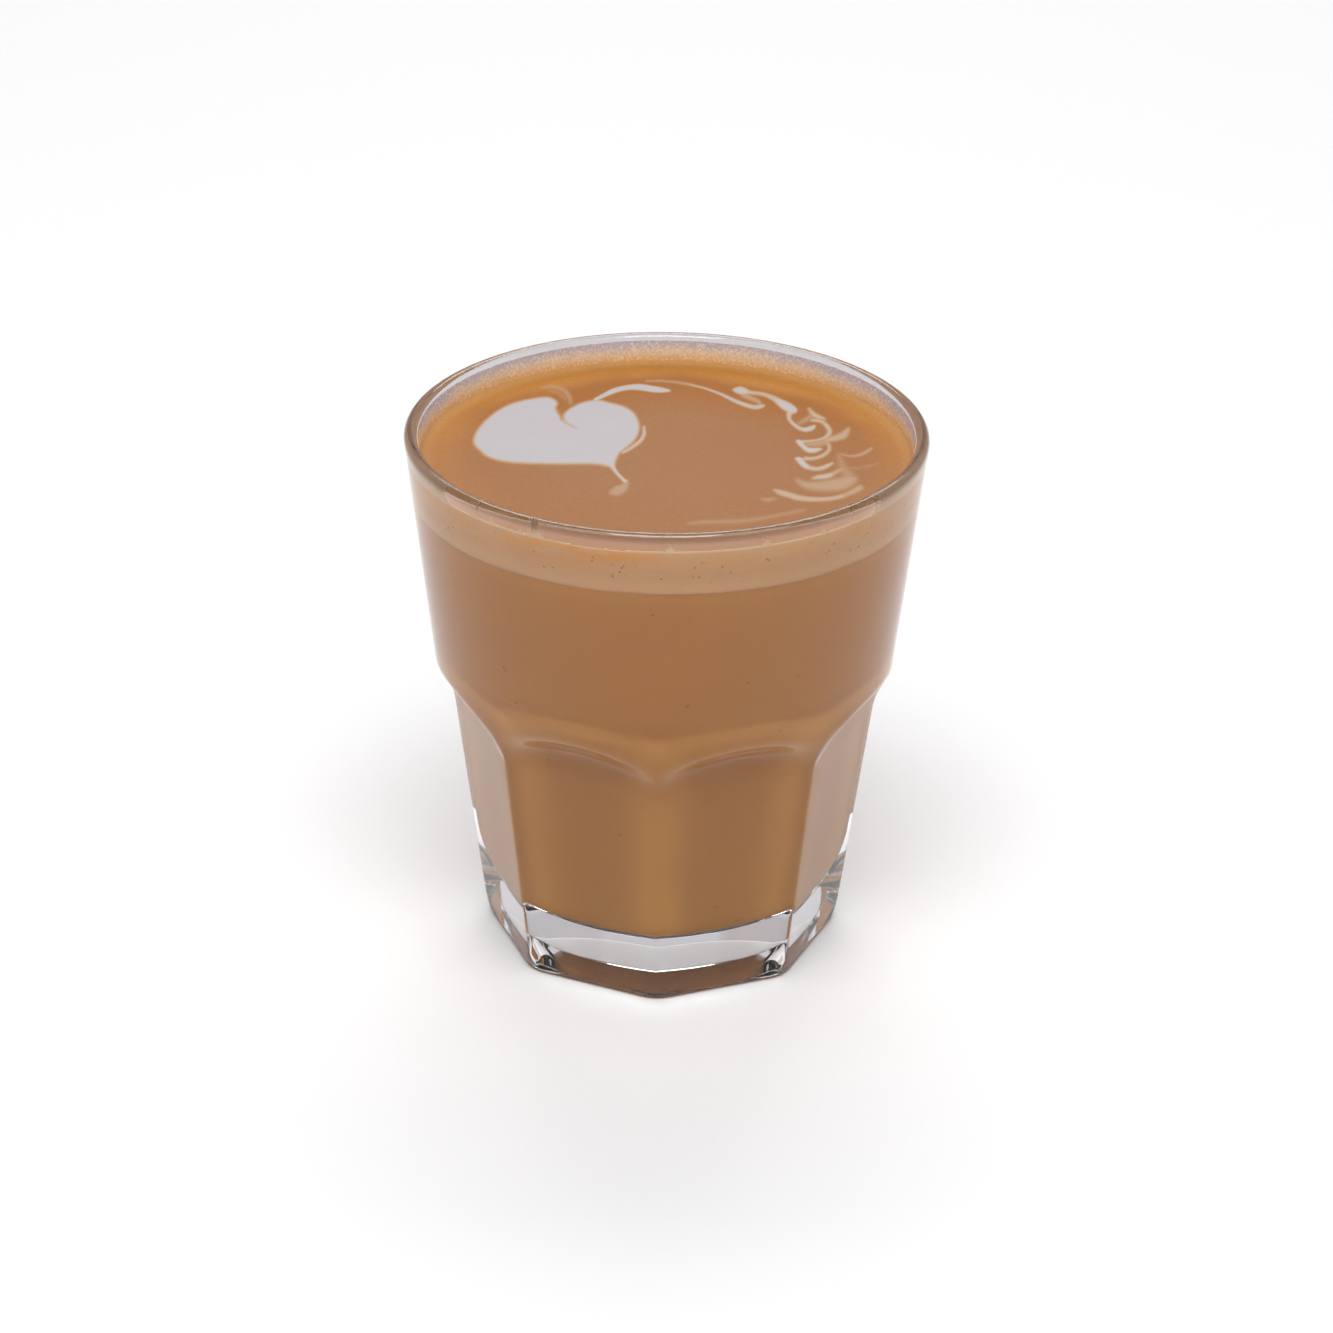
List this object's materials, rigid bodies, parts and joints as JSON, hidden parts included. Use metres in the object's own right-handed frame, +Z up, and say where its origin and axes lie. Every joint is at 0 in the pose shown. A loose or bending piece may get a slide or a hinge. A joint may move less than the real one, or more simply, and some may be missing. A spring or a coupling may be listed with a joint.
{
  "type": "cortado",
  "caption": "Cortado with steamed milk foam and a poured heart, in a thick-based faceted glass tumbler with arched panels.",
  "frame": {"origin": "centre of the flat ring the glass stands on", "axes": "+Z up along the axis of the glass, -Y towards the ridge between two facets that faces the viewer"},
  "size_m": [0.0774, 0.0774, 0.0822],
  "materials": {
    "glass": "clear, polished pressed glass",
    "coffee": "opaque milk coffee, smooth liquid",
    "foam": "fine milk foam stained with crema, poured heart in white"
  },
  "bodies": {
    "root": {"glass": "glass", "coffee": "coffee", "foam": "foam"}
  },
  "joints": []
}
